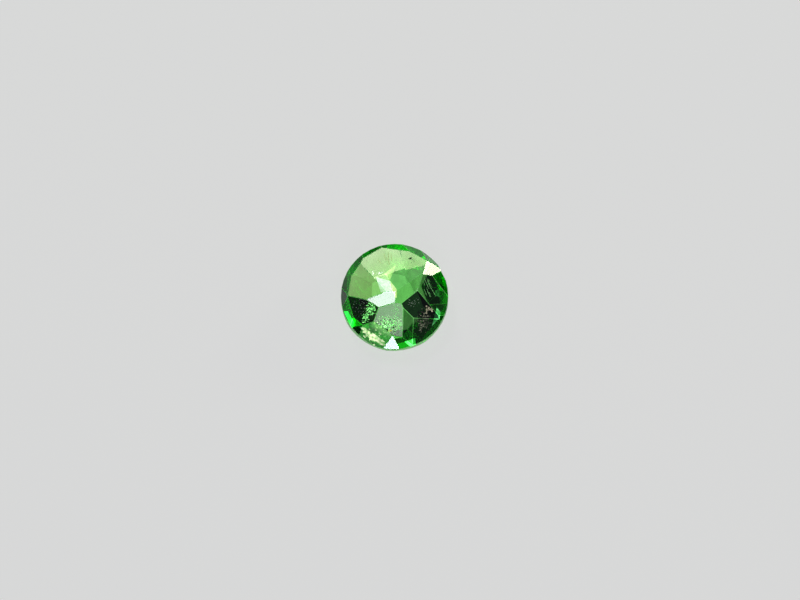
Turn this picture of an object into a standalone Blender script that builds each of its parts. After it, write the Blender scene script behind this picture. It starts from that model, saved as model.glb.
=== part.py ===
"""A round tsavorite garnet, cut by hand: one faceted solid that lies face up on its flat culet.

The stone is made the way a cutter makes it. A round blank is turned first, and each facet is then
ground as one flat plane across it. Lengths are millimetres and angles are degrees until the
finished mesh is scaled to metres. +Z is up, and the culet lies on Z = 0 under the middle of the
round outline. A facet's azimuth is the side that it faces, counted from +X towards +Y, and its
slope is the angle between the facet and the level.
"""

import math
from collections import namedtuple

import bmesh
import bpy
from mathutils import Matrix, Vector

MM = 0.001

# Driving dimensions
DIAMETER = 4.0
GIRDLE_THICKNESS = 0.45
GIRDLE_SIDES = 40
PAVILION_DEPTH = 0.72
CROWN_HEIGHT = 0.825
GIRDLE_LIP = 0.02
RING_WIDTH = 0.24
NARROW_RING_WIDTH = 0.03

# Levels and radii that follow from them
GIRDLE_TOP = PAVILION_DEPTH + GIRDLE_THICKNESS
RING_OUTER = DIAMETER / 2 - GIRDLE_LIP
BLANK_HEIGHT = 2 * GIRDLE_TOP

# A corner nearer than this to the plane of a cut lies on it
TOUCH = 1e-5

Plane = namedtuple("Plane", "point normal")
Facet = namedtuple("Facet", "name azimuth slope on x y")
RingRun = namedtuple("RingRun", "first step count width")
Pavilion = namedtuple("Pavilion", "azimuth slope")

# The crown has large facets of uneven size. The first three meet at the hub, near the middle. Each of
# the others passes through the point (x, y) of a facet that was ground before it. The last three
# meet at one corner in front, where the tip is a small triangle between two broad rim facets.
HUB = Vector((0.05, 0.0, GIRDLE_TOP + CROWN_HEIGHT))
CROWN = (
    Facet("back", 110, 21, "hub", HUB.x, HUB.y),
    Facet("middle_right", 30, 6, "hub", HUB.x, HUB.y),
    Facet("middle_left", 150, 8, "hub", HUB.x, HUB.y),
    Facet("back_left", 125, 20, "back", -0.40, 0.10),
    Facet("front", 274, 28, "middle_left", -0.58, -0.61),
    Facet("left", 222, 28, "middle_left", -0.58, -0.61),
    Facet("front_right", 297, 31, "front", 0.31, -1.04),
    Facet("right_inner", 321, 29, "middle_right", 0.35, -0.39),
    Facet("right_outer", 349, 34, "middle_right", 0.84, -0.02),
    Facet("right_low", 309, 35, "front_right", 0.72, -0.61),
    Facet("back_right", 13, 34, "back", 1.02, 0.62),
    Facet("rim_left", 255, 46, "front", -0.08, -1.56),
    Facet("rim_right", 267, 46, "front", -0.08, -1.56),
    Facet("tip", 262, 48, "front", -0.08, -1.56),
)

# The ring of small facets from the crown down to the girdle, in two evenly spaced runs. The tip and
# its neighbours fill the gap in front. One facet, under the back right facet, is narrow and nearly
# upright, so that the back right facet reaches the outline.
RING_RUNS = (
    RingRun(50, 22, 9, RING_WIDTH),
    RingRun(292, 22, 4, RING_WIDTH),
    RingRun(26, 22, 1, NARROW_RING_WIDTH),
)
RING_LEAST_SLOPE = 38

# The pavilion: the side that each facet faces, and its slope. It is shallow, as in many hand-cut
# stones, so one looks straight through it where the crown is flat, and it is dark under steep facets.
PAVILION = (
    Pavilion(75, 29),
    Pavilion(25, 29),
    Pavilion(325, 30),
    Pavilion(282, 33),
    Pavilion(240, 31),
    Pavilion(180, 29),
    Pavilion(125, 29),
)

GARNET_GREEN = (0.045, 0.36, 0.055, 1.0)
GARNET_IOR = 1.74
POLISH_ROUGHNESS = 0.03


def towards(azimuth):
    """Level unit vector towards an azimuth."""
    angle = math.radians(azimuth)
    return Vector((math.cos(angle), math.sin(angle), 0))


def sloping_plane(azimuth, slope, point):
    """Plane through a point that faces an azimuth and falls by a slope in that direction."""
    angle = math.radians(slope)
    normal = math.sin(angle) * towards(azimuth) + math.cos(angle) * Vector((0, 0, 1))
    return Plane(point, normal)


def height_on(plane, x, y):
    """Height of a plane above the point (x, y)."""
    point, normal = plane
    return point.z - (normal.x * (x - point.x) + normal.y * (y - point.y)) / normal.z


def crown_planes():
    """Planes of the crown's large facets, each laid on one that is already there."""
    planes = {"hub": Plane(HUB, Vector((0, 0, 1)))}
    for facet in CROWN:
        point = Vector((facet.x, facet.y, height_on(planes[facet.on], facet.x, facet.y)))
        planes[facet.name] = sloping_plane(facet.azimuth, facet.slope, point)
    del planes["hub"]
    return list(planes.values())


def ring_planes(crown):
    """Planes of the small facets that fall from the crown's surface to the girdle."""
    planes = []
    for run in RING_RUNS:
        for azimuth in range(run.first, run.first + run.step * run.count, run.step):
            inner = (RING_OUTER - run.width) * towards(azimuth)
            rise = min(height_on(plane, inner.x, inner.y) for plane in crown) - GIRDLE_TOP
            slope = max(RING_LEAST_SLOPE, math.degrees(math.atan2(rise, run.width)))
            foot = RING_OUTER * towards(azimuth) + Vector((0, 0, GIRDLE_TOP))
            planes.append(sloping_plane(azimuth, slope, foot))
    return planes


def pavilion_planes():
    """Planes of the facets that fall from the girdle's lower edge to the culet."""
    planes = []
    for azimuth, slope in PAVILION:
        foot = RING_OUTER * towards(azimuth) + Vector((0, 0, PAVILION_DEPTH))
        planes.append(sloping_plane(azimuth, 180 - slope, foot))
    return planes


def grind(stone, plane):
    """Grind a mesh flat on one plane: what stands over it goes, and the cut is one flat face."""
    everything = stone.verts[:] + stone.edges[:] + stone.faces[:]
    cut = bmesh.ops.bisect_plane(
        stone, geom=everything, dist=TOUCH, plane_co=plane.point, plane_no=plane.normal, clear_outer=True
    )
    rim = [item for item in cut["geom_cut"] if isinstance(item, bmesh.types.BMEdge)]
    bmesh.ops.contextual_create(stone, geom=rim)


def cut_stone_mesh():
    """The whole stone: a round blank, ground facet by facet."""
    stone = bmesh.new()
    bmesh.ops.create_cone(
        stone, cap_ends=True, segments=GIRDLE_SIDES, radius1=DIAMETER / 2, radius2=DIAMETER / 2,
        depth=BLANK_HEIGHT, matrix=Matrix.Translation((0, 0, BLANK_HEIGHT / 2))
    )
    crown = crown_planes()
    for plane in [*crown, *ring_planes(crown), *pavilion_planes()]:
        grind(stone, plane)
    bmesh.ops.recalc_face_normals(stone, faces=stone.faces)
    bmesh.ops.scale(stone, vec=(MM, MM, MM), verts=stone.verts)
    mesh = bpy.data.meshes.new("cut_stone")
    stone.to_mesh(mesh)
    stone.free()
    return mesh


def garnet_material():
    """Clear green garnet with polished facets."""
    material = bpy.data.materials.new("green_garnet")
    material.use_nodes = True
    shader = material.node_tree.nodes["Principled BSDF"]
    shader.inputs["Base Color"].default_value = GARNET_GREEN
    shader.inputs["Roughness"].default_value = POLISH_ROUGHNESS
    shader.inputs["IOR"].default_value = GARNET_IOR
    shader.inputs["Transmission Weight"].default_value = 1.0
    shader.inputs["Metallic"].default_value = 0.0
    return material


def build():
    """Clear the scene and add the stone."""
    for item in list(bpy.data.objects):
        bpy.data.objects.remove(item)
    collection = bpy.data.collections.new("tsavorite_garnet")
    bpy.context.scene.collection.children.link(collection)
    stone = bpy.data.objects.new("cut_stone", cut_stone_mesh())
    stone.data.materials.append(garnet_material())
    collection.objects.link(stone)


build()
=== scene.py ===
"""The looks of a round tsavorite garnet that lies face up on a pale opal glass plate.

Sizes are in millimetres and angles in degrees, as a cutter gives them, and are turned to metres and
radians where Blender takes them. The stone's solid comes from the frame. Here its facets get their
polish and painted shade tints, its edges their fine wear, and its inside the crystals, bubbles and
feathers that grew in it, most of them lit by painted glow, with glowing sheets of painted light under the
ring.
Each of these is placed by the pixels (u, v) where the photograph shows it, under the facet it is seen
through, so that it stays at its depth in the stone from every side.
"""

import math
from collections import namedtuple

import bmesh
import bpy
import numpy as np
from mathutils import Matrix, Vector
from mathutils.bvhtree import BVHTree


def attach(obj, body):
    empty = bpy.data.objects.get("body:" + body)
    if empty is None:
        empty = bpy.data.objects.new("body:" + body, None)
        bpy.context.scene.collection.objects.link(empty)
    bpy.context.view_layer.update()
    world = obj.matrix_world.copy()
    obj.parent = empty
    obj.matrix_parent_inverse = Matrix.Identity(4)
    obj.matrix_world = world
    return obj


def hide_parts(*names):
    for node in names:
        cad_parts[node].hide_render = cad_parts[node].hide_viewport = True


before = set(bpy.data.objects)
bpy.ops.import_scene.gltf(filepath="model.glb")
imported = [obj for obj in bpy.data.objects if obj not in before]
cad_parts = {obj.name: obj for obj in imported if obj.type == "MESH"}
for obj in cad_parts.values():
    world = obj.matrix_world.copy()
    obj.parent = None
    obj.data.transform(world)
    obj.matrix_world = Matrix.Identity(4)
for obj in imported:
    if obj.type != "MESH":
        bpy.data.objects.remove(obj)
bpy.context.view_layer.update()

MM = 0.001

# The ground solid: its faces to cast rays at, and each face's plane, where n . p is the face's level
STONE = "cut_stone"
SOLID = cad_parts[STONE].data
FACETS = BVHTree.FromPolygons([v.co for v in SOLID.vertices], [face.vertices for face in SOLID.polygons])
NORMALS = np.array([face.normal for face in SOLID.polygons])
LEVELS = np.array([face.normal.dot(face.center) for face in SOLID.polygons])
GIRDLE_MIDDLE = Vector((0.0, 0.0, 0.945 * MM))

# Garnet: its refractive index, and what it keeps of white light on the way through
GARNET_IOR = 1.74
GARNET_GREEN = "72f943"
GARNET_DENSITY = 900.0

# Two faces lie in one facet's plane within SAME_FACET. FACING is looser, to find a facet by whole degrees
SAME_FACET = math.cos(math.radians(0.5))
FACING = 0.9995

# Wear of the ridges. Ridges that turn by less than RIDGE_ANGLE stay sharp
EDGE_WEAR = 0.024
RIDGE_ANGLE = 3.0
WELD = 0.0005
FLAT_ANGLE = 0.3
TOUCH = 1e-5

# The photograph's frame and where the stone's girdle is centred in it, in pixels
PHOTO_SIZE = (800, 600)
STONE_CENTRE = (394.6, 297.3)
PIXEL = 0.0373 * MM
CAMERA_ELEVATION = 77.0
CAMERA_DISTANCE = 220 * MM
SENSOR_WIDTH = 36.0
SIGHT_START = 10 * MM

# The plate and the lamps
PLATE_RADIUS = 1500 * MM
PLATE_RINGS = (0.004, 0.05, 1.0)
PLATE_SIDES = 96
LIGHT_DISTANCE = 120 * MM
LAMP_MIDDLE = (122.7, 64.9)
STUDIO_AIR = (0.06, 0.07, 0.08, 1)

# A pixel on each facet that has something under it: grown inclusions, or glowing sheets of painted light
# under the ring
FRONT = (391, 318)
LEFT = (368, 308)
BACK = (392, 272)
RIGHT = (428, 288)
RIGHT_LOW = (424, 318)
RIGHT_LOWEST = (422, 326)
RIGHT_INNER = (413, 300)
RIM = (375, 336)
RING_LEFT = (349, 320)
RING_RIGHT = (438, 315)
RING_FRONT = (409, 342)

# How grains lie: pixels stray by CLOUD_EDGE deviations at most, a grain under a facet has its middle SLANT
# radii down the line of sight, and one ground flush stands FLUSH proud and keeps EDGE_ROOM of its size
# from the facet's edges
CLOUD_EDGE = 2
CLOUD_STRETCH = (0.7, 1.3)
FLUSH_STRETCH = (0.6, 1.4)
SLANT = 1.15
FLUSH = 0.003
EDGE_ROOM = 0.3

# Thin sheets in healed cracks
SHEET_STEPS = 32
SHEET_ROOM = 0.005
SHEET_WALL = 0.004
RIPPLE = 0.001
RIPPLE_RATES = (9, 7)


def linear(hex_colour):
    """sRGB hex colour as linear red, green, blue and a full alpha."""
    channels = [int(hex_colour[i:i + 2], 16) / 255 for i in (0, 2, 4)]
    return tuple(c / 12.92 if c <= 0.04045 else ((c + 0.055) / 1.055) ** 2.4 for c in channels) + (1.0,)


def direction(azimuth, elevation):
    """Unit vector towards an azimuth, counted from +X, and an elevation."""
    a, e = math.radians(azimuth), math.radians(elevation)
    return Vector((math.cos(e) * math.cos(a), math.cos(e) * math.sin(a), math.sin(e)))


# Directions of the camera's frame, seen from the stone
TO_CAMERA = direction(-90, CAMERA_ELEVATION)
CAMERA_UP = direction(90, 90 - CAMERA_ELEVATION)
CAMERA_RIGHT = CAMERA_UP.cross(TO_CAMERA)


def node(tree, kind, settings=None, sockets=None, links=None):
    """Adds a node, sets its settings and its sockets' values, and links sockets of it to others."""
    new = tree.nodes.new(kind)
    for name, value in (settings or {}).items():
        setattr(new, name, value)
    for name, value in (sockets or {}).items():
        new.inputs[name].default_value = value
    for name, source in (links or {}).items():
        tree.links.new(source, new.inputs[name])
    return new


def new_material(name):
    """An empty node material, its tree and its output node."""
    material = bpy.data.materials.new(name)
    material.use_nodes = True
    tree = material.node_tree
    tree.nodes.clear()
    return material, tree, node(tree, "ShaderNodeOutputMaterial")


# A facet's polish. It is found by the azimuth that it faces and its slope. Its tint is painted shade: the
# share of light that each passage through it keeps, set facet by facet to fix how dark and how green the
# see-through light looks, in place of the light paths of a real pavilion. `frost` is how matt it is ground,
# from 0 to 1.
Polish = namedtuple("Polish", "azimuth slope hue frost")
POLISH = {
    "back": Polish(110, 21, "ffffff", 0.0),
    "back_left": Polish(125, 20, "d0d8bc", 0.0),
    "middle_right": Polish(30, 6, "e0e8d0", 0.0),
    "middle_left": Polish(150, 8, "988c98", 0.0),
    "front": Polish(274, 28, "707c6c", 0.0),
    "left": Polish(222, 28, "040604", 0.0),
    "front_right": Polish(297, 31, "40503c", 0.0),
    "right_inner": Polish(321, 29, "030605", 0.0),
    "right_outer": Polish(349, 34, "687060", 0.0),
    "right_low": Polish(309, 35, "2a302a", 0.0),
    "rim_left": Polish(255, 46, "fffae8", 0.7),
    "rim_right": Polish(267, 46, "f0fff0", 0.05),
    "tip": Polish(262, 48, "ffffff", 0.0),
}

# The ring of small facets, the girdle and the worn ridges. The ring's tint is painted shade that deepens its
# see-through green, and its gloss tint is a painted reflection colour that turns its grey reflections green.
RING_SLOPES = (36, 84)
RING_PAINTED_SHADE = "207c48"
RING_PAINTED_REFLECTION = "188048"
RING_FROST = 0.2
GIRDLE_SLOPES = (84, 96)
GIRDLE_HUE = "dcdcd4"
GIRDLE_FROST = 1.0
EDGE_HUE = "ffffff"
EDGE_FROST = 1.0


def facet_polish(mesh):
    """Writes each face's painted shade tint, painted reflection tint and frost into the mesh as attributes.

    A face with the unit normal n belongs to the facet whose normal is m where n . m > FACING. Ring and
    girdle faces are known by their slope alone, the angle whose cosine is n's height. A face that turns
    away from every facet of the solid is a worn ridge."""
    normals = np.empty(len(mesh.polygons) * 3)
    mesh.polygons.foreach_get("normal", normals)
    normals = normals.reshape(-1, 3)
    slope = np.degrees(np.arccos(np.clip(normals[:, 2], -1, 1)))
    hue = np.ones((len(normals), 4))
    painted_reflection_tint = np.ones((len(normals), 4))
    frost = np.zeros(len(normals))
    ring = (slope > RING_SLOPES[0]) & (slope < RING_SLOPES[1])
    hue[ring] = linear(RING_PAINTED_SHADE)
    painted_reflection_tint[ring] = linear(RING_PAINTED_REFLECTION)
    frost[ring] = RING_FROST
    band = (slope > GIRDLE_SLOPES[0]) & (slope < GIRDLE_SLOPES[1])
    hue[band] = linear(GIRDLE_HUE)
    frost[band] = GIRDLE_FROST
    for polish in POLISH.values():
        its = normals @ np.array(direction(polish.azimuth, 90 - polish.slope)) > FACING
        hue[its] = linear(polish.hue)
        painted_reflection_tint[its] = 1.0
        frost[its] = polish.frost
    worn = (normals @ NORMALS.T).max(1) < SAME_FACET
    hue[worn] = linear(EDGE_HUE)
    frost[worn] = EDGE_FROST
    mesh.attributes.new("hue", "FLOAT_COLOR", "FACE").data.foreach_set("color", hue.ravel())
    mesh.attributes.new("painted_reflection_tint", "FLOAT_COLOR", "FACE").data.foreach_set("color", painted_reflection_tint.ravel())
    mesh.attributes.new("frost", "FLOAT", "FACE").data.foreach_set("value", frost)


# Veils are bands of slightly darker green that grew with the crystal, drawn out along one direction (the
# turn is in radians). Pits are what the polish left, drawn several times too coarse so that they show.
VEIL_WIDTH = 0.35
VEIL_STRETCH = (1.0, 0.25, 1.0)
VEIL_TURN = (0, 0, 0.35)
VEIL_KEEPS = (0.62, 1.0)
PIT_WIDTH = 0.03
PIT_KEEPS = (0.8, 1.0)
FULL_FROST = 0.45


def polished_garnet():
    """Tsavorite garnet, ground and polished: clear glassy facets that bend light strongly, and a body
    colour that deepens with the light's way through the stone. Each facet's see-through light is also
    darkened by its painted shade tint, and the ring's reflections are painted green."""
    material, tree, output = new_material("polished_tsavorite_garnet")
    hue = node(tree, "ShaderNodeAttribute", {"attribute_name": "hue"})
    frost = node(tree, "ShaderNodeAttribute", {"attribute_name": "frost"})
    painted_reflection_tint = node(tree, "ShaderNodeAttribute", {"attribute_name": "painted_reflection_tint"})
    place = node(tree, "ShaderNodeTexCoord")
    stretched = node(
        tree, "ShaderNodeMapping", sockets={"Scale": VEIL_STRETCH, "Rotation": VEIL_TURN},
        links={"Vector": place.outputs["Object"]})
    veils = node(
        tree, "ShaderNodeTexNoise", sockets={"Scale": 1 / (VEIL_WIDTH * MM), "Detail": 4.0, "Roughness": 0.6},
        links={"Vector": stretched.outputs["Vector"]})
    veil_shade = node(
        tree, "ShaderNodeMapRange",
        sockets={"From Min": 0.35, "From Max": 0.65, "To Min": VEIL_KEEPS[0], "To Max": VEIL_KEEPS[1]},
        links={"Value": veils.outputs["Fac"]})
    pits = node(
        tree, "ShaderNodeTexNoise", sockets={"Scale": 1 / (PIT_WIDTH * MM), "Detail": 2.0},
        links={"Vector": place.outputs["Object"]})
    pit_shade = node(
        tree, "ShaderNodeMapRange",
        sockets={"From Min": 0.3, "From Max": 0.7, "To Min": PIT_KEEPS[0], "To Max": PIT_KEEPS[1]},
        links={"Value": pits.outputs["Fac"]})
    shade = node(tree, "ShaderNodeMath", {"operation": "MULTIPLY"})
    tree.links.new(veil_shade.outputs["Result"], shade.inputs[0])
    tree.links.new(pit_shade.outputs["Result"], shade.inputs[1])
    colour = node(
        tree, "ShaderNodeVectorMath", {"operation": "SCALE"},
        links={"Vector": hue.outputs["Color"], "Scale": shade.outputs["Value"]})
    roughness = node(
        tree, "ShaderNodeMapRange", sockets={"To Min": 0.0, "To Max": FULL_FROST},
        links={"Value": frost.outputs["Fac"]})
    shader = node(
        tree, "ShaderNodeBsdfPrincipled", sockets={"IOR": GARNET_IOR, "Transmission Weight": 1.0},
        links={
            "Base Color": colour.outputs["Vector"], "Specular Tint": painted_reflection_tint.outputs["Color"],
            "Roughness": roughness.outputs["Result"]})
    body = node(
        tree, "ShaderNodeVolumeAbsorption",
        sockets={"Color": linear(GARNET_GREEN), "Density": GARNET_DENSITY})
    tree.links.new(shader.outputs["BSDF"], output.inputs["Surface"])
    tree.links.new(body.outputs["Volume"], output.inputs["Volume"])
    return material


def opal_plate():
    """Lit opal glass, acid etched: an even pale grey white with no gloss, a little bright of its own."""
    material, tree, output = new_material("lit_opal_glass")
    shader = node(tree, "ShaderNodeBsdfPrincipled", sockets={
        "Base Color": linear("8c8c8e"), "Roughness": 0.9, "Specular IOR Level": 0.1,
        "Emission Color": linear("ffffff"), "Emission Strength": 0.62})
    tree.links.new(shader.outputs["BSDF"], output.inputs["Surface"])
    return material


# Where the noise of a mineral's patches has fully gone over to its dark and its light colour
PATCH_EDGES = (0.38, 0.62)


def mineral(name, dark, light, patch, roughness, painted_glow=0.0):
    """A grown mineral: two colours in patches `patch` millimetres wide. Its glow is painted light: the grains
    give off light of their own colour, as a share of it, in place of light from the lit plate and the lamps."""
    material, tree, output = new_material(name)
    place = node(tree, "ShaderNodeTexCoord")
    patches = node(
        tree, "ShaderNodeTexNoise", sockets={"Scale": 1 / (patch * MM), "Detail": 3.0},
        links={"Vector": place.outputs["Object"]})
    colour = node(tree, "ShaderNodeValToRGB", links={"Fac": patches.outputs["Fac"]})
    for stop, position, hex_colour in zip(colour.color_ramp.elements, PATCH_EDGES, (dark, light)):
        stop.position = position
        stop.color = linear(hex_colour)
    shader = node(
        tree, "ShaderNodeBsdfPrincipled", sockets={"Roughness": roughness, "Emission Strength": painted_glow},
        links={"Base Color": colour.outputs["Color"], "Emission Color": colour.outputs["Color"]})
    tree.links.new(shader.outputs["BSDF"], output.inputs["Surface"])
    return material


def add_object(name, mesh, material):
    """An object of a finished mesh in one material, at the origin and linked to the scene."""
    mesh.materials.append(material)
    piece = bpy.data.objects.new(name, mesh)
    bpy.context.scene.collection.objects.link(piece)
    return piece


def finish_piece(name, points, faces, material):
    """A piece from arrays of points and faces, riding on the stone's body."""
    mesh = bpy.data.meshes.new(name)
    mesh.from_pydata(points.tolist(), [], faces.tolist())
    piece = add_object(name, mesh, material)
    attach(piece, "root")
    return piece


def worn_flats(bm):
    """Planes that wear each ridge down to a flat EDGE_WEAR wide. Where a ridge's two facets turn by the
    angle t, the flat faces halfway between them and lies EDGE_WEAR / 2 * tan(t / 2) under the ridge."""
    flats = []
    for edge in bm.edges:
        turn = edge.calc_face_angle()
        if turn > math.radians(RIDGE_ANGLE):
            normal = (edge.link_faces[0].normal + edge.link_faces[1].normal).normalized()
            middle = (edge.verts[0].co + edge.verts[1].co) / 2
            flats.append((middle - EDGE_WEAR / 2 * math.tan(turn / 2) * normal, normal))
    return flats


def make_stone(material):
    """The stone: the solid's facets as whole faces, with a hair-thin frosted edge between them. The flats
    are cut in millimetres, because Blender's cuts are too coarse for a stone given in metres."""
    bm = bmesh.new()
    bm.from_mesh(SOLID)
    bmesh.ops.remove_doubles(bm, verts=bm.verts, dist=WELD * MM)
    bmesh.ops.dissolve_limit(bm, angle_limit=math.radians(FLAT_ANGLE), verts=bm.verts, edges=bm.edges)
    bmesh.ops.scale(bm, vec=(1 / MM,) * 3, verts=bm.verts)
    bm.normal_update()
    for point, normal in worn_flats(bm):
        everything = bm.verts[:] + bm.edges[:] + bm.faces[:]
        cut = bmesh.ops.bisect_plane(
            bm, geom=everything, dist=TOUCH, plane_co=point, plane_no=normal, clear_outer=True)
        rim = [item for item in cut["geom_cut"] if isinstance(item, bmesh.types.BMEdge)]
        bmesh.ops.contextual_create(bm, geom=rim)
    bmesh.ops.recalc_face_normals(bm, faces=bm.faces)
    bmesh.ops.scale(bm, vec=(MM,) * 3, verts=bm.verts)
    mesh = bpy.data.meshes.new("garnet")
    bm.to_mesh(mesh)
    bm.free()
    facet_polish(mesh)
    piece = add_object("garnet", mesh, material)
    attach(piece, "root")
    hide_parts(STONE)


def bend(ray, normal):
    """A ray's direction inside the stone, by Snell's law: with c = -n . r and the index k, a ray r goes on
    along r / k + (c / k - sqrt(1 - (1 - c^2) / k^2)) n."""
    c = -normal.dot(ray)
    return ray / GARNET_IOR + (c / GARNET_IOR - math.sqrt(1 - (1 - c * c) / GARNET_IOR ** 2)) * normal


def start_of_sight(pixels):
    """Points above the stone on the lines of sight through pixels, given as an array of rows (u, v)."""
    across = (pixels[:, 0] - STONE_CENTRE[0]) * PIXEL
    up = (STONE_CENTRE[1] - pixels[:, 1]) * PIXEL
    centre = np.array(GIRDLE_MIDDLE + SIGHT_START * TO_CAMERA)
    return centre + across[:, None] * np.array(CAMERA_RIGHT) + up[:, None] * np.array(CAMERA_UP)


def facet_at(pixel):
    """A point of the facet seen at a pixel, its normal, and the line of sight's direction under it."""
    start = Vector(start_of_sight(np.array([pixel], float))[0])
    place, normal = FACETS.ray_cast(start, -TO_CAMERA)[:2]
    return np.array(place), np.array(normal), np.array(bend(-TO_CAMERA, normal))


def under_facet(home, pixels, depths):
    """Points inside the stone under the facet seen at `home`, one on each pixel's line of sight: where the
    line meets the facet's plane, and then `depth` millimetres on along the bent line."""
    place, normal, inward = facet_at(home)
    start = start_of_sight(pixels)
    eye = np.array(TO_CAMERA)
    entry = start - ((start - place) @ normal / (eye @ normal))[:, None] * eye
    return entry + (depths * MM)[:, None] * inward


def inside(places, room, facet=None):
    """Which places lie in the stone with `room` metres to spare. The solid is convex, so a place p is in it
    where n . p - n . m < -room for every face with the normal n and the middle m. A facet's own faces are
    left out when its normal is given."""
    asked = np.ones(len(NORMALS), bool) if facet is None else NORMALS @ facet < FACING
    return (places @ NORMALS[asked].T - LEVELS[asked]).max(1) < -room


def ball(rings, sides):
    """A unit ball as points and triangles. A point at the angles t and p is (sin t cos p, sin t sin p,
    cos t), and the poles are single points."""
    t = np.linspace(0, math.pi, rings + 2)[1:-1, None]
    p = np.linspace(0, 2 * math.pi, sides, endpoint=False)
    belt = np.stack([np.sin(t) * np.cos(p), np.sin(t) * np.sin(p), np.cos(t) + 0 * p], -1).reshape(-1, 3)
    points = np.concatenate([[[0, 0, 1]], belt, [[0, 0, -1]]])
    i = np.arange(sides)
    j = (i + 1) % sides
    upper = 1 + sides * np.arange(rings - 1)[:, None]
    lower = upper + sides
    low = 1 + sides * (rings - 1)
    faces = [
        np.stack([0 * i, 1 + i, 1 + j], 1),
        np.stack([upper + i, lower + i, lower + j], -1).reshape(-1, 3),
        np.stack([upper + i, lower + j, upper + j], -1).reshape(-1, 3),
        np.stack([low + sides + 0 * i, low + j, low + i], 1),
    ]
    return points, np.concatenate(faces)


def grains(name, places, sizes, turns, material, rings=3, sides=6):
    """Balls at `places`, each stretched by its own three `sizes` in millimetres and turned by its matrix:
    a ball's point q goes to place + (q * sizes) turn."""
    points, faces = ball(rings, sides)
    spread = places[:, None] + (points[None] * sizes[:, None] * MM) @ turns
    numbered = faces[None] + len(points) * np.arange(len(places))[:, None, None]
    finish_piece(name, spread.reshape(-1, 3), numbered.reshape(-1, 3), material)


def any_turns(chance, count):
    """Random turns: the orthogonal parts of random matrices, with mirrored ones turned back."""
    turns = np.linalg.qr(chance.normal(size=(count, 3, 3)))[0]
    return turns * np.linalg.det(turns)[:, None, None]


def scatter(chance, centre, spread, radius, stretch, count):
    """Pixels round the pixel `centre` that deviate by `spread`, and three sizes for each: a radius evenly
    between the two limits of `radius`, times three factors between the limits of `stretch`."""
    stray = chance.normal(size=(count, 2)).clip(-CLOUD_EDGE, CLOUD_EDGE)
    pixels = np.array(centre) + stray * np.array(spread)
    sizes = chance.uniform(*radius, count)[:, None] * chance.uniform(*stretch, (count, 3))
    return pixels, sizes


def cloud(name, home, material, seed, centre, spread, depth, radius, count):
    """Grains in a soft round cloud under the facet seen at `home`. The depths of their tops lie evenly
    between two limits. Grains that would stick out of the stone are left out."""
    chance = np.random.default_rng(seed)
    pixels, sizes = scatter(chance, centre, spread, radius, CLOUD_STRETCH, count)
    half = sizes.max(1)
    places = under_facet(home, pixels, chance.uniform(*depth, count) + SLANT * half)
    kept = inside(places, half * MM)
    grains(name, places[kept], sizes[kept], any_turns(chance, count)[kept], material)


def flush_grains(name, home, material, seed, centre, spread, radius, count):
    """Grains that reach the surface and were ground flush with it: flat spots in the facet's own plane.
    They are turned any way in the plane, and stay off the facet's edges."""
    chance = np.random.default_rng(seed)
    normal = facet_at(home)[1]
    pixels, sizes = scatter(chance, centre, spread, radius, FLUSH_STRETCH, count)
    sizes[:, 2] = FLUSH
    places = under_facet(home, pixels, np.zeros(count))
    along = np.cross(normal, chance.normal(size=(count, 3)))
    along /= np.linalg.norm(along, axis=1)[:, None]
    turns = np.stack([along, np.cross(normal, along), np.broadcast_to(normal, along.shape)], 1)
    kept = inside(places, EDGE_ROOM * sizes.max(1) * MM, normal)
    grains(name, places[kept], sizes[kept], turns[kept], material)


def needles(name, home, material, depth, radius, tips):
    """Long thin crystals, as balls drawn out. `tips` has a row (u, v, u, v) for each, its two ends."""
    tips = np.array(tips, float)
    deep = np.full(len(tips), depth)
    start = under_facet(home, tips[:, :2], deep)
    end = under_facet(home, tips[:, 2:], deep)
    length = np.linalg.norm(end - start, axis=1)
    along = (end - start) / length[:, None]
    side = np.cross(along, np.array(TO_CAMERA))
    side /= np.linalg.norm(side, axis=1)[:, None]
    turns = np.stack([side, np.cross(along, side), along], 1)
    sizes = np.stack([0 * length + radius, 0 * length + radius, length / (2 * MM)], 1)
    grains(name, (start + end) / 2, sizes, turns, material, rings=6, sides=5)


def flake(name, home, material, depth, corners, lamp=None):
    """A thin sheet in a healed crack, with its four corners at pixels. Between them a point at (a, b) is
    the corners' bilinear mean, and the sheet ripples by RIPPLE * sin(9 a) * sin(7 b + 1). With a lamp's
    direction, the sheet leans so that it mirrors that lamp to the eye; otherwise it follows the facet.
    Only what lies inside the stone is kept of it."""
    normal, inward = facet_at(home)[1:]
    lean = normal
    if lamp:
        lean = -inward - np.array(bend(-direction(*lamp), Vector(normal)))
        lean /= np.linalg.norm(lean)
    flat = under_facet(home, np.array(corners, float), np.zeros(4))
    middle = flat.mean(0) + depth * MM * inward
    ends = flat + ((middle - flat) @ lean / (inward @ lean))[:, None] * inward
    steps = SHEET_STEPS
    a, b = np.meshgrid(np.linspace(0, 1, steps), np.linspace(0, 1, steps))
    a, b = a.reshape(-1, 1), b.reshape(-1, 1)
    sheet = (1 - a) * (1 - b) * ends[0] + a * (1 - b) * ends[1] + a * b * ends[2] + (1 - a) * b * ends[3]
    ripple = np.sin(RIPPLE_RATES[0] * a) * np.sin(RIPPLE_RATES[1] * b + 1)
    sheet = sheet + RIPPLE * MM * ripple * lean
    k = (np.arange(steps - 1)[:, None] * steps + np.arange(steps - 1)).reshape(-1)
    quads = np.stack([k, k + 1, k + steps + 1, k + steps], 1)
    quads = quads[inside(sheet, SHEET_ROOM * MM)[quads].all(1)]
    used, renumbered = np.unique(quads, return_inverse=True)
    piece = finish_piece(name, sheet[used], renumbered.reshape(quads.shape), material)
    wall = piece.modifiers.new("thickness", "SOLIDIFY")
    wall.thickness = SHEET_WALL * MM


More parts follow.
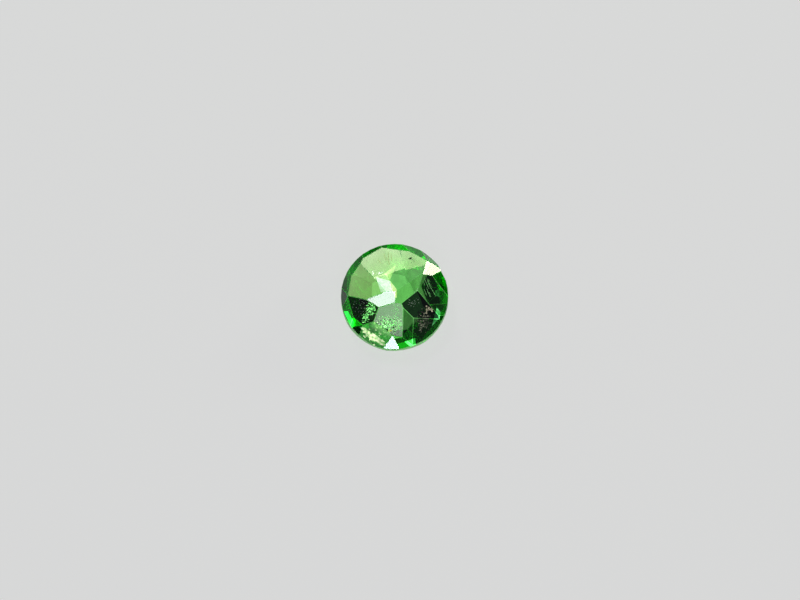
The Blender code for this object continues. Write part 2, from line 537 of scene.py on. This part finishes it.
def make_bubbles():
    """The foam of bubbles under the front and left facets, and the ones that polishing cut open."""
    # Fluid in closed bubbles: round green grains, made bright by painted glow
    bubbles = mineral("fluid_bubbles", "1c6c24", "b8ff98", patch=0.03, roughness=0.15, painted_glow=2.2)
    cloud("bubbles_front", FRONT, bubbles, 3, centre=(388, 324.5), spread=(6.5, 4.0),
          depth=(0.0, 0.08), radius=(0.010, 0.026), count=200)
    cloud("bubbles_left", LEFT, bubbles, 7, centre=(369, 312), spread=(3.5, 4.0),
          depth=(0.0, 0.05), radius=(0.008, 0.018), count=120)
    # Bubbles cut open: crisp green spots in the polish, lit by painted glow
    open_bubbles = mineral("cut_open_bubbles", "186c28", "90fc88", patch=0.03, roughness=0.3, painted_glow=1.5)
    flush_grains("cut_bubbles_front", FRONT, open_bubbles, 4, centre=(388, 325), spread=(6.5, 4.2),
                 radius=(0.008, 0.026), count=200)
    flush_grains("cut_bubbles_high", FRONT, open_bubbles, 5, centre=(397, 312), spread=(3.0, 6.0),
                 radius=(0.006, 0.014), count=70)
    flush_grains("cut_bubbles_left", LEFT, open_bubbles, 8, centre=(371, 309), spread=(2.2, 2.8),
                 radius=(0.010, 0.022), count=110)
    # Painted shade between bubbles: deep green spots ground flush among them, where the gaps look dark
    gaps = mineral("shadow_between_bubbles", "0c3414", "1c5c24", patch=0.02, roughness=0.5)
    flush_grains("gaps_front", FRONT, gaps, 45, centre=(387, 326), spread=(6.0, 3.6),
                 radius=(0.012, 0.028), count=110)
    flush_grains("cut_bubbles_low", LEFT, open_bubbles, 9, centre=(366, 317), spread=(2.0, 2.6),
                 radius=(0.010, 0.020), count=80)
    # Bubbles cut at their widest: near-white sparkles of painted glow
    bright_bubbles = mineral("bright_cut_bubbles", "34b044", "d8ffc8", patch=0.02, roughness=0.3, painted_glow=2.0)
    flush_grains("cut_bubbles_bright", FRONT, bright_bubbles, 43, centre=(388, 324), spread=(7.0, 4.5),
                 radius=(0.006, 0.014), count=90)
    flush_grains("cut_bubbles_wide", FRONT, bright_bubbles, 6, centre=(382, 326.5), spread=(3.0, 2.4),
                 radius=(0.014, 0.034), count=45)


def make_haze():
    """Fine dust at the surface of three facets, and a soft patch of haze under one."""
    # Mineral dust: pale points, just large enough to see, with a little painted glow
    dust = mineral("fine_dust", "a8c0a8", "e8f4e8", patch=0.02, roughness=0.5, painted_glow=0.3)
    flush_grains("dust", LEFT, dust, 19, centre=(362, 306), spread=(4.5, 5.0),
                 radius=(0.006, 0.010), count=50)
    flush_grains("haze_front", FRONT, dust, 41, centre=(390, 313), spread=(6.5, 5.5),
                 radius=(0.004, 0.007), count=140)
    flush_grains("teal_specks", RIGHT_INNER, dust, 33, centre=(413, 302), spread=(3.0, 2.6),
                 radius=(0.006, 0.010), count=30)
    # Moss-like growth: a dull mid green without edges, lit by painted glow
    moss = mineral("green_haze", "1c6c2c", "50b860", patch=0.1, roughness=0.5, painted_glow=1.0)
    cloud("green_patch", RIGHT, moss, 31, centre=(437, 294), spread=(1.3, 2.0),
          depth=(0.03, 0.10), radius=(0.02, 0.05), count=30)


def make_feathers():
    """Healed cracks under the back facet: the white arm, its cream edge and the pale green shard."""
    # A crack filled with gas: an even greenish white that leans to mirror the middle lamp, made bright by
    # painted glow
    feather = mineral("gas_feather", "b4dcc8", "e4fcf0", patch=0.08, roughness=0.5, painted_glow=0.95)
    flake("feather", BACK, feather, 0.10, ((376, 277), (390, 281), (395, 292), (381, 292)), LAMP_MIDDLE)
    # Its thin edge: cream with a touch of the stone's green, lit by painted glow
    cream = mineral("cream_feather", "d8f098", "ecffc0", patch=0.1, roughness=0.5, painted_glow=0.95)
    flake("feather_edge", BACK, cream, 0.09, ((389, 279.5), (396.5, 289), (396.5, 301), (393, 292)))
    # A crack grown shut with garnet: light green, soft in tone, its light painted glow
    shard = mineral("healed_crack", "a4e084", "c8f49c", patch=0.15, roughness=0.5, painted_glow=0.9)
    flake("shard", BACK, shard, 0.06, ((384, 274), (396, 265), (396, 265.2), (390, 280)))


def make_specks():
    """Small single crystals at the surface of the back and front facets, and veins under the back one."""
    # Calcite: white flecks at the feather's head, brightened by painted glow
    calcite = mineral("calcite_fleck", "d8ffd8", "ffffff", patch=0.02, roughness=0.4, painted_glow=1.3)
    flush_grains("flecks_left", BACK, calcite, 11, centre=(373, 274), spread=(0.4, 1.6),
                 radius=(0.010, 0.018), count=14)
    flush_grains("flecks_right", BACK, calcite, 12, centre=(380, 273), spread=(1.6, 0.6),
                 radius=(0.010, 0.018), count=14)
    # Graphite: a near-black speck and a faint ring of dots beside it
    graphite = mineral("graphite_speck", "0c1810", "2c4c20", patch=0.03, roughness=0.4)
    flush_grains("speck", BACK, graphite, 13, centre=(409.5, 258.6), spread=(0.8, 0.5),
                 radius=(0.02, 0.035), count=6)
    flush_grains("speck_ring", BACK, graphite, 21, centre=(414, 259.5), spread=(1.6, 1.6),
                 radius=(0.010, 0.016), count=14)
    # Iron oxide in fine channels: thin olive lines with a little painted glow
    stain = mineral("iron_veins", "4c7424", "88b050", patch=0.05, roughness=0.5, painted_glow=0.6)
    needles("veins", BACK, stain, depth=0.06, radius=0.018, tips=(
        (384, 253, 386, 261), (388, 251, 389, 260), (391, 253, 392, 262), (387, 257, 390, 266),
        (378, 259, 381, 264)))
    # A grain of sulphur yellow: one small warm spot with a little painted glow
    yellow = mineral("yellow_spot", "b8d840", "e4f870", patch=0.03, roughness=0.4, painted_glow=0.5)
    flush_grains("yellow_spot", FRONT, yellow, 35, centre=(390, 330.5), spread=(0.8, 0.8),
                 radius=(0.012, 0.024), count=8)


def make_silk():
    """Silk under the outer right facet: hair-fine needles that lie nearly one way."""
    # Rutile-like needles: bright green streaks of painted glow in the dark
    silk = mineral("silk_needles", "3f8f4c", "b0f0a8", patch=0.05, roughness=0.4, painted_glow=2.6)
    needles("silk", RIGHT, silk, depth=0.05, radius=0.006, tips=(
        (423, 281, 425, 286), (424, 278, 429, 289), (426, 277, 430, 285), (427, 281, 433, 292),
        (426, 287, 430, 297), (430, 284, 432, 288), (424, 289, 427, 296), (429, 292, 431, 297),
        (432, 289, 436, 297), (428, 279, 430, 282)))


def make_silt():
    """Lumps of matrix rock at the lower right, some buried and some ground flush."""
    # Silt in the stone: dim grey-brown lumps, lit by painted glow
    silt = mineral("iron_stained_silt", "2c302a", "868c78", patch=0.10, roughness=0.6, painted_glow=1.2)
    cloud("silt", RIGHT_LOW, silt, 15, centre=(424, 319), spread=(3.4, 5.0),
          depth=(0.03, 0.15), radius=(0.015, 0.04), count=130)
    # Its grit where it was ground: grey spots, and a sandy pale patch where it has weathered, both with a
    # little painted glow
    grit = mineral("pale_grit", "444a3c", "a8ac90", patch=0.04, roughness=0.6, painted_glow=0.25)
    weathered = mineral("weathered_grit", "7c7a60", "dcd4b4", patch=0.04, roughness=0.6, painted_glow=0.35)
    flush_grains("grit", RIGHT_LOW, grit, 16, centre=(424, 318), spread=(3.2, 5.0),
                 radius=(0.010, 0.030), count=60)
    flush_grains("grit_low", RIGHT_LOWEST, grit, 18, centre=(422, 325), spread=(2.2, 3.6),
                 radius=(0.012, 0.030), count=40)
    flush_grains("grit_high", RIGHT_LOW, weathered, 17, centre=(430, 309.5), spread=(1.8, 1.6),
                 radius=(0.02, 0.05), count=20)


def make_skin():
    """What is left of the rough crystal's skin at the lower left rim."""
    # Natural skin: a cream crust that thins out into green, lit by painted glow in place of the plate's light
    # through it
    skin = mineral("natural_skin", "6cac5c", "fffce8", patch=0.12, roughness=0.6, painted_glow=1.0)
    flake("skin_upper", RIM, skin, 0.16, ((360, 327), (365, 327.5), (374, 336), (366, 333)))
    flake("skin_middle", RIM, skin, 0.12, ((363, 331), (374, 333.5), (385, 342), (372, 341)))
    flake("skin_lower", RIM, skin, 0.16, ((374, 339), (383, 340), (386, 346), (379, 344)))
    cloud("skin_grains", RIM, skin, 23, centre=(373, 337), spread=(6.0, 4.0),
          depth=(0.02, 0.10), radius=(0.01, 0.03), count=60)


def make_glints():
    """Glowing sheets under the ring: painted light for the bright green spots that its facets show."""
    # Painted glints: a vivid, even green glow
    neon = mineral("painted_glint_green", "38e04c", "68ff78", patch=0.2, roughness=0.4, painted_glow=3.4)
    flake("glint_left", RING_LEFT, neon, 0.05, ((344, 311.5), (348, 311), (356, 326), (352, 328)))
    flake("glint_front", RING_FRONT, neon, 0.05, ((401, 343), (415, 338), (416, 346), (404, 347)))
    # A weaker painted glint: a cooler, paler green glow
    mint = mineral("painted_glint_mint", "3cac54", "80e898", patch=0.2, roughness=0.4, painted_glow=2.6)
    flake("glint_right", RING_RIGHT, mint, 0.05, ((436.5, 308), (441.5, 306), (439.5, 318), (432, 326)))


def make_floor(material):
    """A round plate that the stone lies on: points (r cos t, r sin t) on rings of radius r."""
    sides = PLATE_SIDES
    turns = np.linspace(0, 2 * math.pi, sides, endpoint=False)
    radii = np.array(PLATE_RINGS)[:, None] * PLATE_RADIUS
    rings = np.stack([radii * np.cos(turns), radii * np.sin(turns), 0 * radii + 0 * turns], -1)
    points = np.concatenate([np.zeros((1, 3)), rings.reshape(-1, 3)])
    i = np.arange(sides)
    j = (i + 1) % sides
    hub = np.stack([0 * i, 1 + i, 1 + j], 1)
    inner = 1 + sides * np.arange(len(PLATE_RINGS) - 1)[:, None]
    outer = inner + sides
    bands = np.stack([inner + i, outer + i, outer + j, inner + j], -1).reshape(-1, 4)
    mesh = bpy.data.meshes.new("plate")
    mesh.from_pydata(points.tolist(), [], hub.tolist() + bands.tolist())
    floor = add_object("plate", mesh, material)


def softbox(name, azimuth, elevation, width, height, radiance, tint="ffffff"):
    """A rectangular lamp that the stone sees at an azimuth and elevation, `width` by `height` degrees. Its
    power is its radiance times pi times its area."""
    towards = direction(azimuth, elevation)
    lamp = bpy.data.lights.new(name, "AREA")
    lamp.shape = "RECTANGLE"
    lamp.size = 2 * LIGHT_DISTANCE * math.tan(math.radians(width / 2))
    lamp.size_y = 2 * LIGHT_DISTANCE * math.tan(math.radians(height / 2))
    lamp.energy = radiance * math.pi * lamp.size * lamp.size_y
    lamp.color = linear(tint)[:3]
    holder = bpy.data.objects.new(name, lamp)
    holder.location = GIRDLE_MIDDLE + LIGHT_DISTANCE * towards
    holder.rotation_euler = towards.to_track_quat("Z", "Y").to_euler()
    bpy.context.scene.collection.objects.link(holder)


def make_lights():
    """Soft lamps round the stone, each one where a facet mirrors it to the eye."""
    # Small bright lamps, mirrored by the middle left facet, the back right facet and the tip
    softbox("lamp_middle", *LAMP_MIDDLE, 8, 8, 10.5, "f6f6ff")
    softbox("lamp_right", 26.4, 18.5, 9, 9, 13.5, "fffde0")
    softbox("lamp_front_low", 260.2, 6.9, 5, 5, 14.0, "e8fbff")
    # Panels in the back facet, side by side: their seam and upper edge are the steps in its tone
    softbox("panel_back_left", 108.24, 30.5, 6.86, 10, 4.7, "ecffc0")
    softbox("panel_back_right", 99.81, 30.55, 6.95, 10, 3.7, "e8ffb8")
    softbox("panel_back_high", 107.5, 38.45, 4.6, 6, 4.7, "ecffc0")
    # Dim panels that lift the tone of the back left facet and the front facet
    softbox("panel_left", 117, 39.5, 8, 8, 1.8, "e8ffa8")
    softbox("panel_front", 275, 48, 18, 14, 2.4)
    # Two weak lamps from behind
    softbox("lamp_back", 128, 55, 6, 6, 1.6)
    softbox("lamp_back_right", 50, 68, 8, 8, 2.0)
    world = bpy.data.worlds.new("studio")
    world.use_nodes = True
    world.node_tree.nodes["Background"].inputs["Color"].default_value = STUDIO_AIR
    bpy.context.scene.world = world


def make_camera():
    """The photograph's view: nearly straight down, the stone a little left of the frame's middle."""
    off_x = (PHOTO_SIZE[0] / 2 - STONE_CENTRE[0]) * PIXEL
    off_y = (STONE_CENTRE[1] - PHOTO_SIZE[1] / 2) * PIXEL
    aim = GIRDLE_MIDDLE + off_x * CAMERA_RIGHT + off_y * CAMERA_UP
    camera = bpy.data.cameras.new("camera")
    camera.sensor_width = SENSOR_WIDTH
    camera.lens = SENSOR_WIDTH * CAMERA_DISTANCE / (PHOTO_SIZE[0] * PIXEL)
    camera.clip_start = 1 * MM
    camera.clip_end = 10
    turn = Matrix((CAMERA_RIGHT, CAMERA_UP, TO_CAMERA)).transposed().to_4x4()
    holder = bpy.data.objects.new("camera", camera)
    holder.matrix_world = Matrix.Translation(aim + CAMERA_DISTANCE * TO_CAMERA) @ turn
    bpy.context.scene.collection.objects.link(holder)
    bpy.context.scene.camera = holder


def set_look():
    """Plain colours, and enough bounces for light that runs round inside a gem."""
    scene = bpy.context.scene
    scene.view_settings.view_transform = "Standard"
    scene.cycles.max_bounces = 24
    scene.cycles.transmission_bounces = 24
    scene.cycles.glossy_bounces = 16


make_stone(polished_garnet())
make_bubbles()
make_haze()
make_feathers()
make_specks()
make_silk()
make_silt()
make_skin()
make_glints()
make_floor(opal_plate())
make_lights()
make_camera()
set_look()
